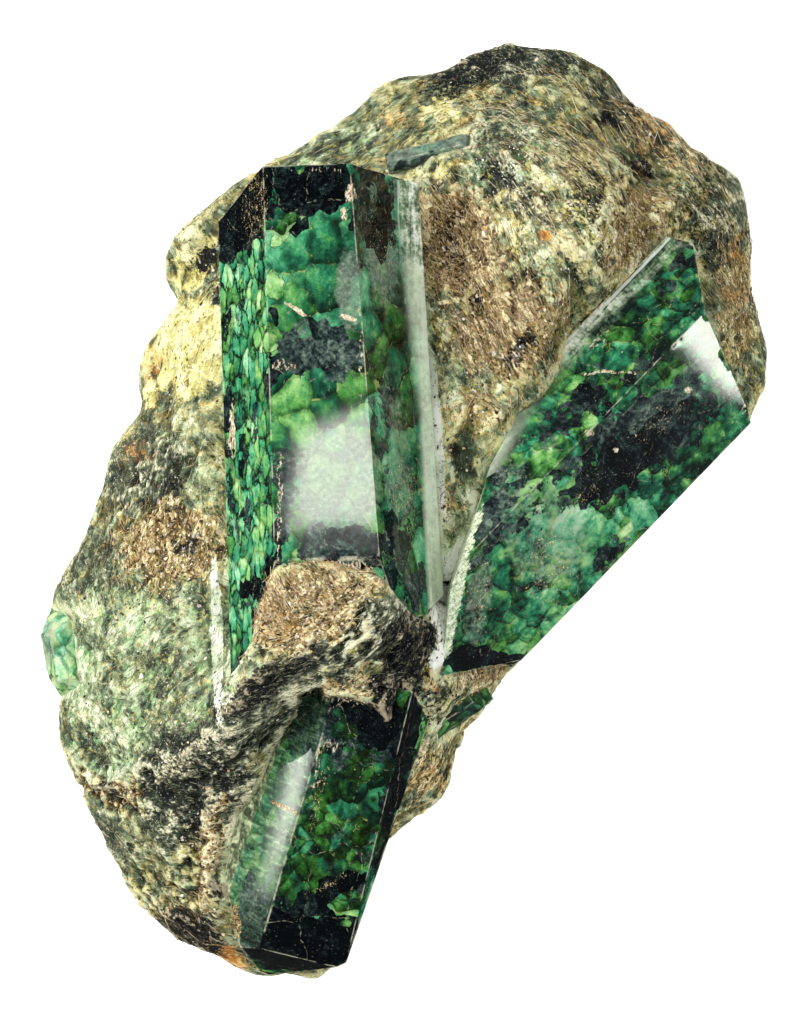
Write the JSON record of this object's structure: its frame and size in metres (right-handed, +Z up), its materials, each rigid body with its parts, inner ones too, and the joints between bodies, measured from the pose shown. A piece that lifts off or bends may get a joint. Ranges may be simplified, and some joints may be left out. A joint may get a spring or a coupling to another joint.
{
  "type": "emerald in matrix",
  "caption": "Mineral specimen: polished emerald crystals standing in rough mica schist, lying on a flat back.",
  "frame": {"origin": "middle of the specimen's outline, on the flat back that it lies on", "axes": "+Z up out of the polished faces, +Y up the specimen's length, +X to its right seen from above"},
  "size_m": [0.0935, 0.12, 0.0512],
  "materials": {
    "mica_schist": "rough, flaky and foliated",
    "polished_emerald": "polished, translucent, mottled green with black mica inside",
    "pale_beryl": "broken, pale green",
    "dark_beryl": "natural, dark green"
  },
  "bodies": {
    "root": {"matrix": "mica_schist", "central_crystal": "polished_emerald", "right_crystal": "polished_emerald", "lower_crystal": "polished_emerald", "top_prism": "dark_beryl", "edge_beryl": "pale_beryl", "notch_beryl": "dark_beryl"}
  },
  "joints": []
}
